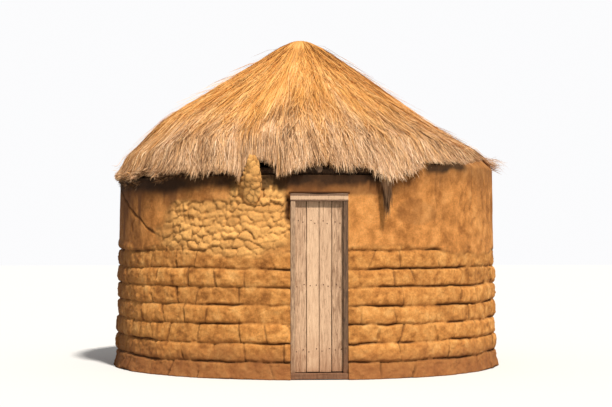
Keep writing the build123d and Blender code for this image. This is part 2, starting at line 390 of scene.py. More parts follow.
def floor_material():
    """Beaten earth, dusty and worn smooth."""
    made, tree, shader = material("beaten_earth")
    coords = object_coords(tree)
    broad = noise_node(tree, coords, 2.0, 6, 0.6)
    grit = noise_node(tree, coords, 90.0, 5, 0.7)
    colour = ramp(tree, broad, (0.3, 0.20, 0.10, 0.045), (0.55, 0.33, 0.18, 0.085),
                  (0.75, 0.46, 0.28, 0.14))
    feed(tree, shader, {
        "Base Color": mix(tree, 0.5, colour, ramp(tree, grit, (0.3, 0.7), (0.7, 1.1)), "MULTIPLY"),
        "Roughness": 0.92, "Normal": bump(tree, maths(tree, "ADD", grit, broad), 0.6, 0.01)})
    return made


def thatch_bed_material():
    """Packed grass under the loose straws: fine streaks down the slope."""
    made, tree, shader = material("thatch_bed")
    streak = attribute(tree, "streak")
    fresh = ramp(tree, streak, (0.1, 0.24, 0.095, 0.020), (0.45, 0.64, 0.30, 0.078),
                 (0.85, 0.92, 0.50, 0.16))
    old = ramp(tree, streak, (0.1, 0.12, 0.058, 0.024), (0.45, 0.38, 0.205, 0.095),
               (0.85, 0.66, 0.41, 0.22))
    colour = mix(tree, attribute(tree, "weather"), fresh, old)
    height = plus(tree, streak, (noise_node(tree, object_coords(tree), 85.0, 4, 0.75), 0.4))
    # The underside mask paints the thatch's underside near-black, as painted shade
    feed(tree, shader, {
        "Base Color": mix(tree, attribute(tree, "under"), colour, (0.055, 0.030, 0.014)),
        "Roughness": 0.9, "Specular IOR Level": 0.2, "Normal": bump(tree, height, 0.8, 0.012)})
    return made


def straw_material():
    """Single dry grass stems, golden where fresh and grey-brown where the weather has bleached them."""
    made, tree, shader = material("straw")
    shade = attribute(tree, "shade")
    fresh = ramp(tree, shade, (0.0, 0.34, 0.125, 0.022), (0.25, 0.68, 0.295, 0.062),
                 (0.6, 0.90, 0.45, 0.118), (1.0, 1.0, 0.66, 0.26))
    old = ramp(tree, shade, (0.0, 0.12, 0.060, 0.026), (0.25, 0.41, 0.218, 0.100),
               (0.6, 0.73, 0.445, 0.238), (1.0, 0.96, 0.69, 0.45))
    colour = mix(tree, attribute(tree, "weather"), fresh, old)
    spots = ramp(tree, noise_node(tree, object_coords(tree), 45.0, 3, 0.6), (0.3, 0.55), (0.6, 1.1))
    fibre = noise_node(tree, object_coords(tree, (1, 1, 0.3)), 320.0, 2, 0.6)
    feed(tree, shader, {
        "Base Color": mix(tree, 0.35, colour, spots, "MULTIPLY"), "Roughness": 0.7,
        "Specular IOR Level": 0.3, "Normal": bump(tree, fibre, 0.4, 0.002)})
    return made


def timber_material(name, pale, mid, dark, grain_scale, stretch, dirt):
    """Weathered wood with grain along its length, dark cracks and a dirty lower end."""
    made, tree, shader = material(name)
    coords = object_coords(tree, stretch)
    grain = noise_node(tree, coords, grain_scale, 6, 0.7, 1.2)
    fine = noise_node(tree, coords, grain_scale * 4, 4, 0.7)
    shifted = plus(tree, grain, (maths(tree, "SUBTRACT", attribute(tree, "own"), 0.5), 0.22))
    colour = ramp(tree, shifted, (0.3, *dark), (0.48, *mid), (0.7, *pale))
    colour = mix(tree, 0.6, colour, ramp(tree, fine, (0.34, 0.35), (0.44, 1.0)), "MULTIPLY")
    place = add(tree, "ShaderNodeSeparateXYZ", {0: object_coords(tree)}).outputs["Z"]
    patchy = maths(tree, "MULTIPLY", noise_node(tree, object_coords(tree), 5.0, 5, 0.6), 0.7)
    low = maths(tree, "SUBTRACT", maths(tree, "ADD", patchy, dirt), place, clamp=True)
    feed(tree, shader, {
        "Base Color": mix(tree, low, colour, (0.30, 0.115, 0.045)),
        "Roughness": ramp(tree, fine, (0.3, 0.95), (0.7, 0.72)),
        "Normal": bump(tree, plus(tree, grain, (fine, 0.5)), 0.7, 0.004)})
    return made


def iron_material():
    """Rusted wrought iron."""
    made, tree, shader = material("rusted_iron")
    rust = noise_node(tree, object_coords(tree), 60.0, 6, 0.7)
    feed(tree, shader, {
        "Base Color": ramp(tree, rust, (0.35, 0.045, 0.030, 0.024), (0.55, 0.16, 0.060, 0.025),
                           (0.75, 0.33, 0.13, 0.045)),
        "Roughness": ramp(tree, rust, (0.3, 0.45), (0.7, 0.9)), "Metallic": 0.55,
        "Normal": bump(tree, rust, 0.6, 0.002)})
    return made


# The mud wall

def wall_face(height):
    """Radius of the wall's outer face under its courses and plaster."""
    batter = WALL_RADIUS + WALL_BATTER * (0.5 - height / WALL_HEIGHT)
    return batter + FOOT_FLARE * np.clip(1 - height / FOOT_HEIGHT, 0, 1) ** 1.5


def turn_from_door(place):
    """Turn about the hut's axis from the middle of the door, above zero to its right."""
    return (np.arctan2(place[:, 1], place[:, 0]) - FRONT + math.pi) % (2 * math.pi) - math.pi


def trimmed_share(turn):
    """1 along the right side, where the eave is trimmed and mud is packed up to it, and 0 elsewhere."""
    return window(turn, (0.42, 0.58), (1.8, 2.3))


def spot(turn, height, centre, size, edge):
    """An oval area on the wall with a ragged edge: 1 inside it and 0 outside."""
    across = (turn - centre[0]) / size[0]
    up = (height - centre[1]) / size[1]
    return 1 - smooth(0.82, 1.08, np.hypot(across, up) + 0.4 * edge)


def wall_masks(place):
    """How much of each point is plaster, how much a bare patch of pale lumps, and the point's turn."""
    turn = turn_from_door(place)
    height = place[:, 2]
    plaster = smooth(-0.035, 0.035, height - PLASTER_FOOT + 0.20 * noise(place, 0.6, 11, 4))
    edge = noise(place, 0.30, 12, 3)
    patch = spot(turn, height, (-0.45, 1.80), (0.40, 0.56), edge)
    patch *= 1 - smooth(1.95, 2.02, height + 0.06 * edge) * (1 - smooth(-0.46, -0.42, turn))
    for centre, size in (((-2.35, 1.74), (0.28, 0.30)), ((2.75, 1.62), (0.20, 0.16))):
        patch = np.maximum(patch, spot(turn, height, centre, size, edge))
    return plaster * (1 - patch), patch * smooth(1.30, 1.40, height), turn


def crack(place, start, end, wander, width):
    """Nearness to a wandering crack between two (turn, height) places: 1 on it, 0 some way off."""
    first = np.array([start[0] * WALL_RADIUS, start[1]])
    along = np.array([end[0] * WALL_RADIUS, end[1]]) - first
    length = np.hypot(*along)
    offset = np.stack([turn_from_door(place) * WALL_RADIUS, place[:, 2]], axis=1) - first
    share = offset @ along / length**2
    aside = (offset[:, 0] * along[1] - offset[:, 1] * along[0]) / length + wander
    wide = width * np.clip(0.9 + 0.8 * noise(place, 0.12, 78, 2), 0.3, 2)
    ends = window(share, (-0.02, 0.06), (0.9, 1.02))
    return (1 - smooth(0.3, 1.0, np.abs(aside) / wide)) * ends


def wall_relief(place):
    """Outward relief of the wall's face at points on it, with the masks that colour it."""

    def grain(size, seed, octaves=2, squash=1.0):
        """Noise over the wall. Below 1, squash draws it out upwards, and above 1 it flattens it."""
        return noise(place * np.array([1, 1, squash]), size, seed, octaves)

    plaster, patch, turn = wall_masks(place)
    height = place[:, 2]
    bare = 1 - plaster - patch

    # Courses of mud with wandering joints, broken into lengths
    wave = 0.030 * grain(0.8, 21) + 0.016 * grain(0.19, 23)
    course_height = (PLASTER_FOOT - FOOT_HEIGHT) / COURSES
    course = (height + wave - FOOT_HEIGHT) / course_height
    from_joint = np.abs(course - np.round(course)) * course_height
    broken = smooth(-0.12, 0.26, grain(0.40, 22, squash=2.5))
    joint = (1 - smooth(0.003, 0.019, from_joint)) * (0.22 + 0.78 * broken)
    belly = 1 - np.abs(2 * (course - np.floor(course)) - 1) ** 3.6
    belly = np.where(height + wave > FOOT_HEIGHT, belly, 0.6)
    crumbs = grain(0.055, 61, 3)
    nuggets = np.clip(grain(0.035, 63, squash=1.8), 0, 1)
    gap, value = course_lengths(turn, course, COURSE_LENGTHS, 41)
    seam = 1 - smooth(0.002, 0.016, gap + 0.014 * grain(0.06, 42))
    seam *= smooth(-0.28, 0.12, grain(0.25, 43))
    uneven = 0.55 + 0.9 * value + 0.4 * grain(0.30, 44)
    rough = COURSE_BULGE * belly * uneven - 0.024 * joint - 0.012 * seam + 0.010 * (value - 0.5)
    rough += 0.008 * grain(0.13, 45) + 0.012 * crumbs + 0.012 * nuggets

    # Hand-laid lumps where the plaster has fallen off
    across = turn / (2 * math.pi) * LUMPS + 0.45 * grain(0.16, 52) + 0.30 * grain(0.05, 54)
    up = height / LUMP_HEIGHT + 0.75 * grain(0.22, 53) + 0.35 * grain(0.05, 55)
    first, second, lump, rise = handfuls(across, up, LUMPS, 51)
    lump_seam = 1 - smooth(0.0, 0.20, second - first)
    lump_seam *= 0.25 + 0.75 * smooth(-0.15, 0.25, grain(0.13, 56))
    pillow = np.sqrt(np.clip((second - first) / 0.75, 0, 1))
    lumps = 0.020 * pillow - 0.012 * rise + 0.018 * (lump - 0.5) - 0.008 * lump_seam
    lumps += 0.012 * crumbs + 0.010 * nuggets + 0.008 * grain(0.22, 57)

    # Plaster and its chips
    plain = PLASTER_COAT + 0.009 * grain(0.5, 71) + 0.0035 * grain(0.09, 72, 4)
    chips = smooth(0.38, 0.52, grain(0.13, 73, 3))
    plain -= 0.009 * chips
    relief = plaster * plain + patch * lumps + bare * rough

    # The slot by the door frame and two cracks; these and the other recesses are darkened as painted
    # shade
    ragged = 0.5 * grain(0.07, 77)
    slot = np.exp(-np.abs((turn + 0.153) / 0.013 + ragged) ** 3)
    slot *= smooth(1.66, 1.80, height + 0.05 * ragged) * (1 - smooth(1.97, 2.05, height))
    diagonal = crack(place, (-1.45, 2.17), (-0.90, 1.57), 0.06 * grain(0.25, 75, 4), 0.022)
    upright = crack(place, (0.66, 2.30), (0.60, 1.72), 0.10 * grain(0.30, 76, 4), 0.010)
    relief -= 0.050 * slot + 0.016 * diagonal + 0.004 * upright
    # Painted shade in the recesses: course joints, breaks, lump seams, the slot, the cracks, chips and
    # the plaster's edge
    painted_crevice_shade = bare * np.clip(0.95 * joint + 0.55 * seam, 0, 1) + patch * 0.38 * lump_seam
    painted_crevice_shade += 0.9 * slot + 0.8 * diagonal + 0.25 * upright + 0.25 * plaster * chips
    painted_crevice_shade += plaster * (1 - plaster) * 1.6 * 0.5

    # Near-black painted shade, with some smoke-blackening, under the eave, under its trimmed stretch,
    # beside the daub and over the door
    edge = np.interp(turn, EDGE_TURNS, EDGE_HEIGHTS)
    below_edge = np.where(edge > TRIMMED_ABOVE, PAINTED_SHADE_LINE, edge) - height + 0.05 * grain(0.20, 82, 3)
    left_share = 1 - 0.8 * window(turn, (0.30, 0.36), (1.9, 2.5))
    on_left = window(-turn, (0.5, 0.9), (1.9, 2.5))
    reach = 0.08 * on_left
    under_eave = 1 - smooth(0.13 + reach, 0.24 + reach, below_edge)
    under_eave = under_eave * left_share * smooth(1.9, 2.0, height)
    trim_line = window(turn, (0.52, 0.60), (0.82, 0.92))
    trim_line *= smooth(2.14, 2.19, height + 0.03 * grain(0.12, 90))
    by_daub = window(turn, (-0.42, -0.39), (-0.285, -0.275))
    painted_gap_shade = window(turn, (-0.285, -0.275), (-0.205, -0.195)) * smooth(2.11, 2.16, height)
    brow = window(turn, (-0.16, -0.12), (0.28, 0.34))
    ragged_streaks = grain(0.06, 85, 4, 0.4)
    over_door_shade_foot = 2.10 - 0.055 * ragged_streaks + 0.04 * smooth(0.1, 0.3, turn)
    over_door = brow * smooth(-0.03, 0.07, height - over_door_shade_foot)
    over_door *= 0.72 + 0.28 * smooth(-0.35, 0.1, grain(0.08, 89, 3) + 9 * (height - 2.17))
    # Painted shade: the eave's shadow on the wall, a dark gap beside the daub, over the door and along
    # the trimmed edge
    soot_and_painted_shade = 0.95 * under_eave * (1 - brow) * (1 - by_daub) + 0.95 * over_door + 0.9 * trim_line
    soot_and_painted_shade = np.clip(soot_and_painted_shade + painted_gap_shade, 0, 0.97) * (0.90 + 0.10 * grain(0.07, 88, 3))

    # Splashes at the foot, brown stains and runs, the far left side darker, and painted shade near the
    # wall's top, on the wall over the door and below the eave on the left
    splash = (1 - smooth(0.08, 0.46, height + 0.14 * grain(0.35, 81, 3))) * 0.75
    shade_below_eave_left = on_left * (1 - smooth(0.16, 0.55, below_edge + 0.10 * grain(0.09, 92, 3)))
    eave_shade = smooth(WALL_HEIGHT - 0.30, WALL_HEIGHT - 0.06, height + 0.08 * grain(0.22, 86, 3))
    brown_patch = spot(turn, height, (0.50, 1.84), (0.13, 0.15), grain(0.2, 87, 3)) * 0.30
    far_left = window(-turn, (0.95, 1.4), (1.75, 2.3)) * 0.72
    # A line of painted shade in the mud just above the lintel
    lintel_painted_shade_line = 1 - smooth(0.008, 0.026, height - LINTEL_TOP)
    lintel_painted_shade_line *= (np.abs(turn) < 0.15) * (height > LINTEL_TOP - 0.01)
    runs = smooth(0.0, 0.5, grain(0.10, 83, 3, 0.16)) * smooth(1.2, 2.2, height)
    runs *= 1 + 4.0 * window(-turn, (0.65, 0.8), (1.9, 2.5)) * (1 - patch)
    # Painted shade: the band at the wall's top, the strip over the door under the brow and the gradient
    # below the left eave; the runs and the brown patch are stains
    stain_and_painted_shade = 0.40 * eave_shade * (1 - patch) + 0.55 * brow * smooth(2.0, 2.06, height) + 0.20 * runs
    stain_and_painted_shade = stain_and_painted_shade + brown_patch + (far_left + 0.6 * shade_below_eave_left) * (1 - patch)
    golden = np.where(np.abs(turn) < 1.3, 1.0, 0.45)
    # The stain, crevice and near-black masks carry painted shade as well as stains and smoke-blackening
    masks = {
        "plaster": plaster,
        "pale": patch * (0.55 + 0.45 * lump) * golden,
        "clod": bare * value + patch * lump + plaster * (0.5 + 0.5 * grain(0.18, 84, 3)),
        "painted_crevice_shade": np.clip(painted_crevice_shade + 0.9 * lintel_painted_shade_line, 0, 0.95),
        "splash": splash,
        "stain_and_painted_shade": np.clip(stain_and_painted_shade, 0, 0.92),
        "soot_and_painted_shade": soot_and_painted_shade,
    }
    return relief, masks


def wall_section(low, high, rows):
    """Points (share of thickness, height) round the wall: outer face, top, inner face, underside."""
    inner_rows = max(rows // 9, 3)
    outer = np.stack([np.ones(rows), np.linspace(low, high, rows)], axis=1)
    across = np.linspace(1, 0, 6)[1:-1]
    top = np.stack([across, np.full(4, high)], axis=1)
    inner = np.stack([np.zeros(inner_rows), np.linspace(high, low, inner_rows)], axis=1)
    bottom = np.stack([across[::-1], np.full(4, low)], axis=1)
    return np.concatenate([outer, top, inner, bottom])


def wall_piece(name, turns, heights, rows, nodes, door_sides=(False, False)):
    """A stretch of wall as a closed shell. Each side at the door is cut square to the doorway."""
    section = wall_section(*heights, rows)
    share, height = section[:, :1], section[:, 1:]
    radius = WALL_INNER + (wall_face(height) - WALL_INNER) * share
    door_turn = np.arcsin(HALF_DOOR_GAP / radius)
    start = np.where(door_sides[0], np.sign(turns[0] + 1e-9) * door_turn, turns[0])
    end = np.where(door_sides[1], np.sign(turns[-1] - 1e-9) * door_turn, turns[-1])
    spread = (turns - turns[0]) / (turns[-1] - turns[0])
    turn = start + (end - start) * spread[None, :]
    tall, deep, wide = (np.broadcast_to(part, turn.shape).ravel() for part in (height, share, radius))
    turn = turn.ravel()
    angle = turn + FRONT
    at_face = polar(WALL_RADIUS, angle, tall)
    relief, masks = wall_relief(at_face)
    inside = -0.007 * (1 + noise(at_face, 0.3, 91, 4))
    relief = np.where(deep > 0.99, relief, np.where(deep < 0.01, inside, 0))
    in_front = (at_face[:, 1] < 0) & (tall < LINTEL_TOP)
    beside_door = in_front & (np.abs(at_face[:, 0]) < HALF_DOOR_GAP + 0.03)
    relief = np.where(beside_door & (deep > 0.99), np.minimum(relief, 0.016), relief)
    indoors = {"plaster": 0.6, "painted_crevice_shade": 0.0, "pale": 0.0, "stain_and_painted_shade": 0.35, "soot_and_painted_shade": 0.25}
    for label, value in indoors.items():
        masks[label] = np.where(deep > 0.99, masks[label], value)
    grown = wide + relief
    trimmed = trimmed_share(turn)
    eave = np.interp(turn, EDGE_TURNS, EDGE_HEIGHTS)
    eave -= RIGHT_SAG * smooth(0.45, 0.95, np.sin(turn))
    packed = np.clip(eave + 0.015 - WALL_HEIGHT, 0, 0.35) * trimmed
    rise = packed * smooth(0.55, 0.8, deep) * smooth(1.9, WALL_HEIGHT, tall)
    leaning = 1.1 * np.clip(tall + rise - SHOULDER_FOOT, 0, None) * trimmed
    grown -= leaning * smooth(0.3, 1.0, deep)
    points = polar(grown, angle, tall + rise)
    columns = len(turns)
    for column, at_door in ((0, door_sides[0]), (columns - 1, door_sides[1])):
        if at_door:
            edge = np.arange(len(section)) * columns + column
            points[edge, 0] = np.sign(points[edge, 0]) * HALF_DOOR_GAP
    piece = new_mesh(name, points, grid_quads(len(section), columns), nodes, masks)
    close_ends(piece, len(section), columns)
    return piece


def close_ends(piece, rows, columns):
    """Fill both open ends of a swept shell with flat triangles that stay inside the end's outline."""
    loop = [(index, (index + 1) % rows) for index in range(rows)]
    with edited(piece.data) as mesh:
        mesh.verts.ensure_lookup_table()
        for column in (0, columns - 1):
            ring = [mesh.verts[row * columns + column] for row in range(rows)]
            outline = [Vector((vert.co.xy.length, vert.co.z)) for vert in ring]
            filled = delaunay_2d_cdt(outline, loop, [], 1, 1e-7)
            for corners in filled[2]:
                mesh.faces.new([ring[filled[3][corner][0]] for corner in corners])
            for first, second in loop:
                mesh.edges.get((ring[first], ring[second])).smooth = False
        bmesh.ops.recalc_face_normals(mesh, faces=mesh.faces)


def make_wall(mud):
    """The wall in four pieces, finer at the front, where it is seen closest, and the daub. The narrow
    column at a piece's end keeps its shading from bending at the joint."""
    joint = 0.0005
    rows, side_columns, back_columns, door_columns, door_rows = 176, 369, 298, 56, 18
    side = np.append(np.linspace(0, SEGMENT_TURN - joint, side_columns), SEGMENT_TURN)
    behind = np.linspace(SEGMENT_TURN + joint, 2 * math.pi - SEGMENT_TURN - joint, back_columns)
    behind = np.concatenate([[SEGMENT_TURN], behind, [2 * math.pi - SEGMENT_TURN]])
    over = np.linspace(-0.14, 0.14, door_columns)
    full = (0.0, WALL_HEIGHT)
    right, left = ["wall_front_right", "wall_right"], ["wall_left", "wall_front_left"]
    back = ["wall_back_right", "wall_back", "wall_back_left"]
    pieces = [
        wall_piece("mud_wall_right", side, full, rows, right, (True, False)),
        wall_piece("mud_wall_left", -side[::-1], full, rows, left, (False, True)),
        wall_piece("mud_wall_back", behind, full, rows, back),
        wall_piece("mud_over_door", over, (LINTEL_TOP, WALL_HEIGHT), door_rows, ["wall_over_door"],
                   (True, True)),
        mud_daub(),
    ]
    for piece in pieces:
        piece.data.materials.append(mud)


def mud_daub():
    """The lump of mud that is pressed up against the eave to the left of the door."""
    rows, columns = 40, 36
    turn, radius, height = -0.322, 2.345, 2.20
    up = np.linspace(-1, 1, rows)[:, None]
    around = np.linspace(0, 2 * math.pi, columns + 1)[None, :-1]
    ring = np.sqrt(1 - up**2) ** 0.8
    across = 0.098 * ring * np.cos(around) * (1 - 0.25 * up)
    out = 0.075 * ring * np.sin(around) * (0.7 + 0.3 * up)
    tall = 0.27 * up + 0 * around
    radial = np.array([math.cos(turn + FRONT), math.sin(turn + FRONT)])
    side = np.array([-radial[1], radial[0]])
    flat = radial * (radius + out + 0.14 * tall)[..., None] + side * (across + 0.06 * tall)[..., None]
    points = np.concatenate([flat, (height + tall)[..., None]], axis=2).reshape(-1, 3)
    outward = points - np.array([*(radial * radius), height])
    outward /= np.linalg.norm(outward, axis=1)[:, None]
    first, second, value = clods(points, 0.075, 141)
    swell = 0.022 * smooth(0, 0.4, second - first) + 0.020 * noise(points, 0.07, 142, 3)
    points += outward * swell[:, None]
    seam = 1 - smooth(0.0, 0.2, second - first)
    none = 0 * value
    masks = {"plaster": none, "pale": 0.55 + 0.45 * value, "clod": value, "painted_crevice_shade": 0.6 * seam,
             "splash": none, "stain_and_painted_shade": 0.05 + none, "soot_and_painted_shade": none}
    piece = new_mesh("mud_daub", points, ring_quads(rows, columns), (), masks)
    weld(piece, 0.0005)
    return piece


def weld(piece, distance):
    """Join points that lie together, and turn every face outwards."""
    with edited(piece.data) as mesh:
        bmesh.ops.remove_doubles(mesh, verts=mesh.verts, dist=distance)
        bmesh.ops.recalc_face_normals(mesh, faces=mesh.faces)


# The thatch

def inner_line(radius):
    """Height of the thatch's underside."""
    return THATCH_INNER + (WALL_MIDDLE - radius) * SLOPE


def top_line(radius):
    """Height of the thatch's straight outer slope."""
    return inner_line(radius) + THATCH_THICKNESS / math.cos(PITCH)


def roof_profile():
    """Points (radius, height) down the outer surface from the tip to the eave, and the run to each."""
    share = np.linspace(0, 1, 8)
    tip = np.stack([TIP_RADIUS * share, top_line(TIP_RADIUS) + TIP_RISE * (1 - share**2.1)], axis=1)
    shoulder = EAVE_RADIUS - EAVE_CURL
    slope_radii = np.linspace(TIP_RADIUS, shoulder, 60)[1:]
    straight = np.stack([slope_radii, top_line(slope_radii)], axis=1)
    start = np.array([shoulder, top_line(shoulder)])
    end = np.array([EDGE_RADIUS, EAVE_TIP - 0.03])
    bend = np.array([(shoulder + EDGE_RADIUS) / 2, (start[1] + end[1]) / 2 + EAVE_BOW])
    control = 2 * bend - (start + end) / 2
    t = np.linspace(0, 1, 20)[1:, None]
    curve = (1 - t) ** 2 * start + 2 * t * (1 - t) * control + t**2 * end
    points = np.concatenate([tip, straight, curve])
    points[:, 1] += 0.022 * np.exp(-(((points[:, 0] - 0.28) / 0.15) ** 2))
    run = np.concatenate([[0], np.cumsum(np.linalg.norm(np.diff(points, axis=0), axis=1))])
    return points, run


PROFILE, PROFILE_RUN = roof_profile()
ROOF_RUN = PROFILE_RUN[-1]


def on_roof(run):
    """Radius, height and outward normal at a run down the outer surface. Past the eave it droops."""
    beyond = np.clip(run - ROOF_RUN, 0, None)
    inside = np.clip(run, 0, ROOF_RUN)
    ahead = np.clip(inside + 0.04, 0, ROOF_RUN)
    behind = np.clip(inside - 0.04, 0, ROOF_RUN)
    place, lower, upper = ([np.interp(at, PROFILE_RUN, PROFILE[:, axis]) for axis in (0, 1)]
                           for at in (inside, ahead, behind))
    along = [low - high for low, high in zip(lower, upper)]
    length = np.hypot(*along)
    along_r, along_z = along[0] / length, along[1] / length
    return place[0] + 0.4 * beyond * along_r, place[1] - 0.93 * beyond, -along_z, along_r


def eave_run(turn):
    """Run at which the thatch ends at each turn: ragged, and cut up over the door and at the right."""
    ring = polar(LOBE_RADIUS, turn, 0 * turn)
    lobes = 0.055 * noise(ring, 0.20, 101, 1) * (1 - 0.8 * trimmed_share(turn))
    ragged = lobes + 0.018 * noise(ring, 0.09, 102, 2)
    wanted = np.interp(turn, EDGE_TURNS, EDGE_HEIGHTS) + ragged
    return np.interp(wanted, PROFILE[::-1, 1], PROFILE_RUN[::-1])


def lean(points):
    """Shift the cone above the eave to the left and let its flanks sag, as on the real roof."""
    radius = np.hypot(points[:, 0], points[:, 1])
    aside = points[:, 0] / np.maximum(radius, 0.1)
    left = window(radius, (1.65, 2.15), (2.28, 2.42)) * smooth(0.55, 0.95, -aside)
    right = window(radius, (0.5, 1.8), (2.3, 2.45)) * smooth(0.45, 0.95, aside)
    sag = LEFT_SAG * left + RIGHT_SAG * right
    points[:, 0] += ROOF_SHIFT * smooth(EAVE_TIP + 0.1, EAVE_TIP + 0.7, points[:, 2])
    points[:, 2] -= sag
    return points


def weathering(points, turn):
    """0 where the straw is still golden, near the tip and in streaks, and 1 where it has gone grey."""
    height = points[:, 2]
    fan = polar(3, turn, height * 0.18)
    streaks = 0.6 * noise(fan, 0.55, 111, 3) + 0.4 * noise(fan, 0.14, 112, 2)
    golden_left = 0.30 * smooth(2.7, 3.4, height) * smooth(-0.2, 0.5, -np.sin(turn))
    low = 1 - smooth(2.35, 3.45, height)
    return np.clip(low + 0.8 * streaks - golden_left + 0.12 * smooth(0.2, 0.8, np.sin(turn)), 0, 1)


def streak_field(turn, run, points):
    """Fine streaks that run down the slope."""
    radius = np.maximum(np.hypot(points[:, 0], points[:, 1]), 0.05)
    total = np.zeros(len(turn))
    for index, ring_size in enumerate((0.4, 0.9, 1.8, 3.2)):
        near = np.exp(-((np.log(radius / (ring_size * 0.75))) ** 2) / 0.5)
        total += near * noise(polar(ring_size, turn, run * 0.06), 0.035, 121 + index, 3)
    return total


def make_thatch_bed(bed):
    """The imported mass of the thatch: outer slope, hanging edge and underside."""
    columns, rows = 480, 84
    turn = np.linspace(-math.pi, math.pi, columns + 1)[:-1]
    ends = eave_run(turn)
    run = ends[None, :] * np.linspace(0, 1, rows)[:, None] ** 0.92
    radius, height, normal_r, normal_z = on_roof(run)
    edge_r, edge_z = radius[-1], height[-1]
    lip_r = np.minimum(EAVE_INNER, edge_r - 0.06)
    lip_z = edge_z + EAVE_LIFT
    hollow_z = np.maximum(inner_line(lip_r), lip_z + 0.02)
    stops = [(edge_r, edge_z), (lip_r, lip_z), (lip_r, hollow_z),
             (np.zeros(columns), np.full(columns, inner_line(0)))]
    under_r, under_z = [], []
    for (r0, z0), (r1, z1), steps in zip(stops, stops[1:], (4, 4, 9)):
        for share in np.linspace(0, 1, steps + 1)[1:]:
            under_r.append(r0 + (r1 - r0) * share)
            under_z.append(z0 + (z1 - z0) * share)
    all_r = np.concatenate([radius, under_r])
    all_z = np.concatenate([height, under_z])
    turns = np.broadcast_to(turn, all_r.shape).ravel()
    runs = np.concatenate([run, np.broadcast_to(ends, np.shape(under_r))]).ravel()
    row = np.broadcast_to(np.arange(len(all_r))[:, None], all_r.shape).ravel()
    upper, fringe = row < rows, np.abs(row - rows - 3) < 4
    angle = turns + FRONT
    points = polar(all_r.ravel(), angle, all_z.ravel())
    streak = streak_field(turns, runs, points)
    out = np.where(upper, 0.010 * streak + 0.016 * noise(points, 0.5, 131, 2) - 0.014, 0.0)
    pad = np.zeros_like(under_r)
    n_r = np.concatenate([normal_r, pad]).ravel()
    n_z = np.concatenate([normal_z, pad]).ravel()
    points += polar(out * n_r, angle, out * n_z)
    points[:, 2] += np.where(fringe, 0.014 * noise(points, 0.035, 132, 2), 0)
    masks = {
        "streak": np.clip(0.5 + 0.7 * streak, 0, 1),
        "weather": weathering(points, turns),
        # Painted shade: the underside rows are painted near-black
        "under": np.where(upper, 0.0, 0.93),
    }
    quads = ring_quads(len(all_r), columns)[:, ::-1]
    nodes = [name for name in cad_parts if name.startswith("thatch_")]
    piece = new_mesh("thatch_bed", lean(points), quads, nodes, masks)
    weld(piece, 0.0004)
    piece.data.materials.append(bed)


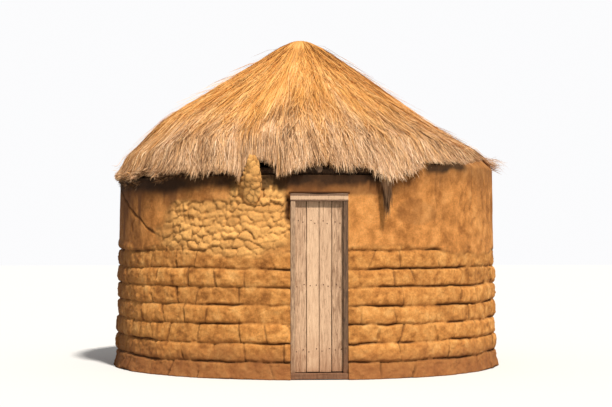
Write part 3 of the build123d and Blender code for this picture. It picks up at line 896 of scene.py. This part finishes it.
def straws(name, look, seed, count, starts, length, width, lift, spread, hang=(0.0, 0.0), turns=None,
           segments=2, shade_shift=0.0, droop=0.35, sink=0.006, tufted=False, flare=0.0):
    """A layer of grass stems down the slope. Starts are shares of the run to the eave, and hang is
    how far a stem may reach past it. A tufted layer is thickest and longest in the middle of its turns,
    and flare is how far its stems stand off past the eave."""
    rng = np.random.default_rng(seed)
    share = np.sqrt(rng.uniform(starts[0] ** 2, starts[1] ** 2, count))
    turn = rng.uniform(*(turns or (-math.pi, math.pi)), count)
    middle = np.mean(turns) if tufted else 0.0
    aside = rng.uniform(-1, 1, count) * np.sqrt(rng.uniform(0, 1, count)) if tufted else np.zeros(count)
    turn = middle + aside * 0.5 * np.ptp(turns) if tufted else turn
    ring = polar(LOBE_RADIUS, turn, 0 * turn)
    tuft = smooth(-0.35, 0.45, noise(ring, 0.17, 151, 2))
    ends = eave_run(turn)
    start = share * ends
    wanted = start + rng.uniform(*length, count)
    trimmed = trimmed_share(turn) * (hang[1] < 0.2)
    past_edge = rng.uniform(*hang, count) * (0.35 + 0.65 * tuft) * (1 - 0.65 * trimmed)
    past_edge *= 1 - 0.7 * aside**2
    reach = np.minimum(wanted, ends + past_edge - 0.004)
    long = np.maximum(reach - start, 0.05)
    field = np.stack([turn * 2.0, start * 0.7, 0 * turn], axis=1)
    spread = np.where(np.abs(turn + 0.283) < 0.15, 0.25 * spread, spread)
    side = rng.normal(0, 1, count) * spread + 1.2 * spread * noise(field, 0.16, seed + 7, 2)
    curl = rng.normal(0, 0.8, count) * spread
    base_lift = rng.uniform(0.0, lift, count)
    tip_lift = rng.uniform(0.2, 1.0, count) ** 2 * lift * 1.3
    t = np.linspace(0, 1, segments + 1)[:, None]
    run = start + long * t
    radius, height, n_r, n_z = on_roof(run)
    turn_here = turn + (side * t + curl * t * t) * long / np.maximum(radius, 0.06)
    past = np.clip(run - ends, 0, None)
    up = base_lift * (1 - 0.6 * t) * (1 - (1 - t) ** 4) + tip_lift * t**1.5 - sink
    up = up + past * (rng.uniform(0.0, 0.30, count) + flare)
    angle = turn_here + FRONT
    out_r, out_z = radius + up * n_r, height + up * n_z - past * droop * rng.uniform(0.2, 1.0, count)
    centre = polar(out_r, angle, out_z)
    across = np.stack([-np.sin(angle), np.cos(angle), np.zeros_like(angle)], axis=-1)
    normal = polar(n_r, angle, n_z)
    roll = rng.normal(0, 0.45, count)[None, :, None]
    lay = across * np.cos(roll) + normal * np.sin(roll)
    taper = np.interp(t, [0, 0.15, 0.7, 1.0], [0.5, 1.0, 0.85, 0.15])
    half = (0.5 * rng.uniform(*width, count) * taper)[..., None]
    points = np.stack([centre - lay * half, centre + lay * half], axis=2).reshape(-1, 3)
    turns_here = np.repeat(turn_here.ravel(), 2)
    lane = polar(2.2, turn, 0.30 * start)
    spots = polar(start, turn, 0 * start)
    patchy = 0.38 * noise(lane, 0.13, 161, 2) - 0.34 * smooth(0.08, 0.72, noise(spots, 0.34, 162, 3))
    placed = -0.20 * (1 - smooth(0.25, 0.55, start)) - 0.07 * smooth(0.2, 0.8, np.sin(turn))
    # Near the eave, stems are darker between its lobes, as painted shade, and paler on them
    placed += 0.22 * (tuft - 0.6) * smooth(0.80, 0.95, share)
    placed += 0.15 * smooth(0.65, 0.85, share) * smooth(0.25, 0.45, turn) * (1 - smooth(0.9, 1.3, turn))
    even = smooth(0.3, 0.9, start)
    shade = 0.5 + (rng.beta(2.5, 2.3, count) - 0.5) * (0.55 + 0.45 * even) + (0.4 + 0.6 * even) * patchy
    shade = np.clip(shade + shade_shift + placed, 0, 1)
    spotty = np.broadcast_to(rng.normal(0, 0.17, count), run.shape)
    masks = {
        "shade": np.clip(np.repeat((shade * (0.72 + 0.35 * t)).ravel(), 2), 0, 1),
        "weather": np.clip(weathering(points, turns_here) + np.repeat(spotty.ravel(), 2), 0, 1),
    }
    index = np.arange(len(points)).reshape(segments + 1, count, 2)
    quads = np.stack([index[:-1, :, 0], index[:-1, :, 1], index[1:, :, 1], index[1:, :, 0]], axis=-1)
    piece = new_mesh(name, lean(points), quads.reshape(-1, 4), (), masks)
    piece.data.materials.append(look)


def make_straws(look):
    """Layers of loose stems over the bed, from the tip to the eave, and its tufts and strays."""
    stem = (0.005, 0.013)
    straws("straw_upper", look, 1, 15000, (0.015, 0.55), (0.35, 0.75), stem, 0.018, 0.10)
    straws("straw_middle", look, 2, 20000, (0.40, 0.82), (0.35, 0.75), stem, 0.024, 0.12)
    straws("straw_lower", look, 3, 16000, (0.62, 0.95), (0.25, 0.60), stem, 0.028, 0.14,
           (-0.02, 0.06), segments=3)
    straws("straw_eave", look, 4, 12000, (0.86, 0.99), (0.20, 0.42), (0.004, 0.010), 0.030, 0.17,
           (0.0, 0.13), segments=3)
    straws("straw_rim", look, 8, 4500, (0.95, 0.998), (0.10, 0.20), (0.004, 0.009), 0.04, 0.16,
           (0.0, 0.09), turns=(-math.pi, 0.40), shade_shift=-0.30, sink=0.075)
    straws("straw_trimmed", look, 9, 2600, (0.93, 0.995), (0.10, 0.22), (0.004, 0.009), 0.02, 0.14,
           (0.01, 0.06), turns=(0.36, 2.2), shade_shift=-0.12, sink=0.035)
    straws("straw_strays", look, 5, 1500, (0.05, 0.95), (0.30, 0.60), (0.003, 0.007), 0.075, 0.30,
           (0.0, 0.12), segments=3, shade_shift=0.1)
    straws("tuft_by_brow", look, 6, 520, (0.90, 0.99), (0.40, 0.62), (0.005, 0.011), 0.010, 0.030,
           (0.12, 0.32), turns=(0.286, 0.338), segments=4, shade_shift=-1.0, droop=0.9, tufted=True,
           flare=-0.12)
    straws("tuft_right", look, 7, 760, (0.86, 0.99), (0.35, 0.55), (0.004, 0.010), 0.060, 0.14,
           (0.10, 0.37), turns=(1.36, 1.80), segments=4, shade_shift=-0.05, droop=0.25, tufted=True,
           flare=0.25)


# The door

SECTION_STEP = 0.010


def rounded(outline, corner):
    """A closed outline with its corners cut and points added along its sides."""
    outline = np.array(outline, float)
    cut = []
    for before, here, after in zip(np.roll(outline, 1, axis=0), outline, np.roll(outline, -1, axis=0)):
        for other in (before, after):
            cut.append(here + (other - here) / np.linalg.norm(other - here) * corner)
    points = []
    for here, after in zip(cut, cut[1:] + cut[:1]):
        parts = max(1, round(np.linalg.norm(after - here) / SECTION_STEP))
        points += [here + (after - here) * share / parts for share in range(parts)]
    return np.array(points)


def timber(outline, axis, start, end, seed, wear, corner=0.003):
    """A worn piece of timber with the given section, in arrays. Its grain runs along the axis."""
    ring = rounded(outline, corner)
    stations = np.linspace(start, end, max(8, round((end - start) / 0.022)))
    tangent = np.roll(ring, -1, axis=0) - np.roll(ring, 1, axis=0)
    outward = np.stack([tangent[:, 1], -tangent[:, 0]], axis=1)
    outward /= np.linalg.norm(outward, axis=1)[:, None]
    if np.sum(ring[:, 0] * np.roll(ring[:, 1], -1) - ring[:, 1] * np.roll(ring[:, 0], -1)) < 0:
        outward = -outward
    flat = np.repeat(ring, len(stations), axis=0)
    facing = np.repeat(outward, len(stations), axis=0)
    far = np.tile(stations, len(ring))
    shown = np.stack([flat[:, 0], flat[:, 1], far * 0.10], axis=1)
    depth = wear * (noise(shown, 0.035, seed, 3) - 0.55) + 0.5 * wear * noise(shown, 0.008, seed + 1, 2)
    near_end = np.minimum(far - start, end - far)
    depth = np.where(near_end < 0.004, depth - wear, depth)
    flat = flat + facing * depth[:, None]
    order = {"x": (2, 0, 1), "z": (0, 1, 2)}[axis]
    points = np.stack([flat[:, 0], flat[:, 1], far], axis=1)[:, order]
    columns = len(stations)
    faces = grid_quads(len(ring), columns).tolist()
    faces += [[row * columns + column for row in range(len(ring))] for column in (0, columns - 1)]
    return points, faces


def timber_piece(name, parts, body, nodes, look, unshaded_band=None):
    """One piece from several timbers, each with a value of its own for its colour. Between two given
    heights the timber is paler, and above and below them it is darkened as painted shade."""
    points, faces, own = [], [], []
    for index, (part_points, part_faces) in enumerate(parts):
        start = sum(len(group) for group in points)
        points.append(part_points)
        faces += [[start + corner for corner in face] for face in part_faces]
        own.append(np.full(len(part_points), (index * 0.618 + 0.2) % 1))
    mesh = bpy.data.meshes.new(name)
    mesh.from_pydata(np.concatenate(points).tolist(), [], faces)
    layer = mesh.attributes.new("own", "FLOAT", "POINT")
    own = np.concatenate(own)
    if unshaded_band:
        height = np.concatenate(points)[:, 2]
        own = np.where((height > unshaded_band[0]) & (height < unshaded_band[1]), 1.5, -0.9)
    layer.data.foreach_set("value", own.astype(np.float32))
    piece = new_object(name, mesh)
    mesh.materials.append(look)
    with edited(mesh) as opened:
        bmesh.ops.triangulate(opened, faces=[face for face in opened.faces if len(face.verts) > 4])
        bmesh.ops.recalc_face_normals(opened, faces=opened.faces)
        for face in opened.faces:
            face.smooth = True
        for edge in opened.edges:
            edge.smooth = len(edge.link_faces) == 2 and edge.calc_face_angle() < math.radians(50)
    enter(piece, body, nodes)


def box_outline(low_a, high_a, low_b, high_b):
    return [(low_a, low_b), (high_a, low_b), (high_a, high_b), (low_a, high_b)]


def plank_edges():
    """Left edge of each plank, and the planks' width."""
    width = (2 * HALF_LEAF - PLANK_GAP * (PLANKS - 1)) / PLANKS
    return [-HALF_LEAF + (width + PLANK_GAP) * index for index in range(PLANKS)], width


def make_leaf(boards, iron):
    """Upright planks of slightly uneven length, ledges behind them, and nails clenched through both."""
    lefts, width = plank_edges()
    planks, nails = [], []
    for index, left in enumerate(lefts):
        outline = box_outline(left + 0.0006, left + width - 0.0006, LEAF_FRONT, LEAF_BACK)
        short = (0.0, 0.004, 0.001, 0.006)[index]
        low, high = LEAF_LOW + short, LEAF_HIGH - 0.5 * short
        planks.append(timber(outline, "z", low, high, 210 + index, 0.0022))
        for foot in LEDGE_FEET:
            for share in (0.27, 0.73):
                wobble = 0.012 * math.sin(7 * index + 11 * foot + 5 * share)
                nails.append((left + width * share + wobble, foot + LEDGE_HEIGHT / 2 + 1.5 * wobble))
    timber_piece("leaf_planks", planks, "door", ["door_planks"], boards)
    reach = HALF_LEAF - 0.024
    ledges = [
        timber(box_outline(LEAF_BACK + 0.0006, LEDGE_BACK, foot, foot + LEDGE_HEIGHT),
               "x", -reach, reach, 230 + index, 0.0025)
        for index, foot in enumerate(LEDGE_FEET)
    ]
    timber_piece("leaf_ledges", ledges, "door", ["door_ledges"], boards)
    mesh = bmesh.new()
    for x, z in nails:
        head = bmesh.ops.create_uvsphere(mesh, u_segments=12, v_segments=6, radius=0.0065)
        for vert in head["verts"]:
            vert.co = Vector((vert.co.x + x, vert.co.y * 0.45 + LEAF_FRONT - 0.0002, vert.co.z + z))
    data = bpy.data.meshes.new("leaf_nails")
    mesh.to_mesh(data)
    mesh.free()
    data.materials.append(iron)
    enter(new_object("leaf_nails", data), "door")


def make_door_frame(pale, dark):
    """Rebated jambs and lintel, and a sill that feet have worn."""
    jamb = [
        (HALF_CLEAR, FRAME_FRONT), (HALF_FRAME, FRAME_FRONT), (HALF_FRAME, FRAME_REAR),
        (HALF_CLEAR + REBATE, FRAME_REAR), (HALF_CLEAR + REBATE, REBATE_FRONT),
        (HALF_CLEAR, REBATE_FRONT),
    ]
    other = [(-x, y) for x, y in jamb]
    lintel = [
        (FRAME_FRONT, HEAD + 0.0003), (FRAME_FRONT, HEAD + 0.09), (FRAME_REAR, HEAD + 0.09),
        (FRAME_REAR, HEAD + REBATE), (REBATE_FRONT, HEAD + REBATE), (REBATE_FRONT, HEAD + 0.0003),
    ]
    sill = box_outline(-2.32, FRAME_REAR, 0.003, SILL_TOP)
    across = ("x", -HALF_FRAME, HALF_FRAME)
    upright = ("z", SILL_TOP, HEAD)
    for name, outline, run, seed, wear, look in (
        # The right jamb takes the darker copy of the frame's timber, as painted shade
        ("jamb_right", jamb, upright, 240, 0.0035, dark),
        ("jamb_left", other, upright, 250, 0.0035, pale),
        ("lintel", lintel, across, 260, 0.0040, pale),
        ("sill", sill, across, 270, 0.0045, dark),
    ):
        # The lintel is paler in a middle strip and darkened along its top and bottom as painted shade
        band = (HEAD + 0.022, HEAD + 0.056) if name == "lintel" else None
        shape = timber(outline, *run, seed, wear, corner=0.005)
        timber_piece(name, [shape], "hut", ["door_" + name], look, band)


def give(node, look):
    node.data.materials.clear()
    node.data.materials.append(look)


# The stage

def make_stage():
    """Pale floor and backdrop, and soft lights."""
    size = 60.0
    mesh = bpy.data.meshes.new("stage_floor")
    corners = [(-size, -size, 0), (size, -size, 0), (size, size, 0), (-size, size, 0)]
    mesh.from_pydata(corners, [], [(0, 1, 2, 3)])
    floor = new_object("stage_floor", mesh)
    floor.location.z = -0.002
    made, tree, shader = material("pale_floor")
    to_camera = add(tree, "ShaderNodeLightPath").outputs["Is Camera Ray"]
    shade = mix(tree, to_camera, (0.42, 0.41, 0.40), (0.80, 0.79, 0.77))
    feed(tree, shader, {"Base Color": shade, "Roughness": 0.95})
    mesh.materials.append(made)
    world = bpy.data.worlds.new("studio")
    bpy.context.scene.world = world
    world.use_nodes = True
    tree = world.node_tree
    lit = tree.nodes["Background"]
    feed(tree, lit, {"Color": (0.96, 0.98, 1.0), "Strength": 0.34})
    seen = add(tree, "ShaderNodeBackground", {"Color": (0.97, 0.97, 0.98), "Strength": 1.0})
    to_camera = add(tree, "ShaderNodeLightPath").outputs["Is Camera Ray"]
    both = add(tree, "ShaderNodeMixShader", {0: to_camera, 1: lit.outputs[0], 2: seen.outputs[0]})
    feed(tree, tree.nodes["World Output"], {"Surface": both.outputs[0]})
    sun = bpy.data.lights.new("key_light", "SUN")
    sun.energy = 4.3
    sun.angle = math.radians(5)
    sun.color = (1.0, 0.96, 0.90)
    key = new_object("key_light", sun)
    key.rotation_euler = Vector((0.20, -0.58, 0.79)).to_track_quat("Z", "Y").to_euler()


def make_camera():
    """Seen as in the photograph: from eye height, a little to the left of the door."""
    distance, eye, turn = 19.5, 1.6, math.radians(-3.7)
    camera = bpy.data.cameras.new("camera")
    camera.lens = 92
    camera.clip_end = 300
    seat = new_object("camera", camera)
    seat.location = (distance * math.sin(turn), -distance * math.cos(turn), eye)
    aim = Vector((0.0, 0.0, 1.98)) - seat.location
    seat.rotation_euler = aim.to_track_quat("-Z", "Y").to_euler()
    bpy.context.scene.camera = seat


make_camera()
make_stage()
make_wall(mud_material())
make_thatch_bed(thatch_bed_material())
make_straws(straw_material())
boards, frame_pale, frame_dark, pole_look = [timber_material(*row) for row in (
    ("grey_boards", (0.81, 0.54, 0.33), (0.65, 0.41, 0.245), (0.31, 0.17, 0.09), 9.0, (6, 6, 0.5),
     0.15),
    ("pale_frame", (0.66, 0.43, 0.26), (0.46, 0.29, 0.17), (0.20, 0.11, 0.06), 10.0, (5, 5, 0.6), 0.12),
    ("dark_frame", (0.30, 0.17, 0.09), (0.17, 0.09, 0.045), (0.06, 0.032, 0.017), 11.0, (4, 4, 0.6),
     0.1),
    ("roof_pole", (0.36, 0.23, 0.13), (0.24, 0.14, 0.075), (0.10, 0.055, 0.030), 14.0, (2, 2, 1), -9.0),
)]
rust = iron_material()
make_leaf(boards, rust)
make_door_frame(frame_pale, frame_dark)
poles = ["wall_plate", "rafters_main", "rafters_between", "crown_block"]
poles += [f"roof_hoop_{index}" for index in range(1, 6)]
for look, names in ((rust, ["hinge_straps", "hinge_pintles"]), (floor_material(), ["earth_floor"]),
                    (pole_look, poles)):
    for name in names:
        give(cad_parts[name], look)

bpy.context.scene.view_settings.view_transform = "Standard"
